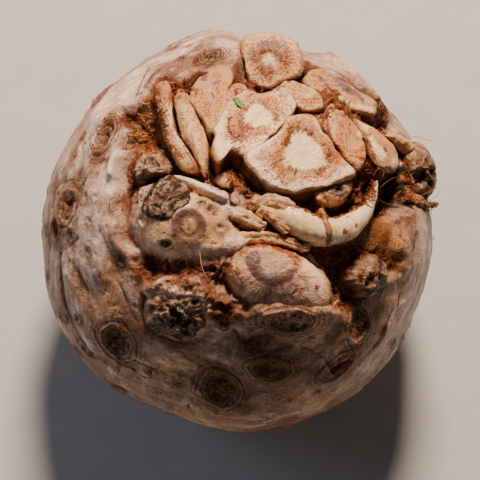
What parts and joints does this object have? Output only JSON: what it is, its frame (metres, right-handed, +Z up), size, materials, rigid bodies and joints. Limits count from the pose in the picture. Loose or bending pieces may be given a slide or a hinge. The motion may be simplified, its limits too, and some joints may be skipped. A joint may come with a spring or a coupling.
{
  "type": "celeriac root",
  "caption": "Knobbly round celeriac root standing on its trimmed leaf crown, with cut root stubs, curled roots and rootlet scars around the root end.",
  "frame": {"origin": "middle of the bounding box's bottom, on the flat cut of the leaf crown that the root rests on", "axes": "+Z up from the trimmed leaf crown to the root end, +Y towards the side where the largest far root was cut, +X to the side with the broken corky knob"},
  "size_m": [0.127, 0.1333, 0.1057],
  "materials": {
    "celeriac_skin": "matte, waxy cream skin with brown scars and fibre"
  },
  "bodies": {
    "root": {"celeriac_root": "celeriac_skin"}
  },
  "joints": []
}
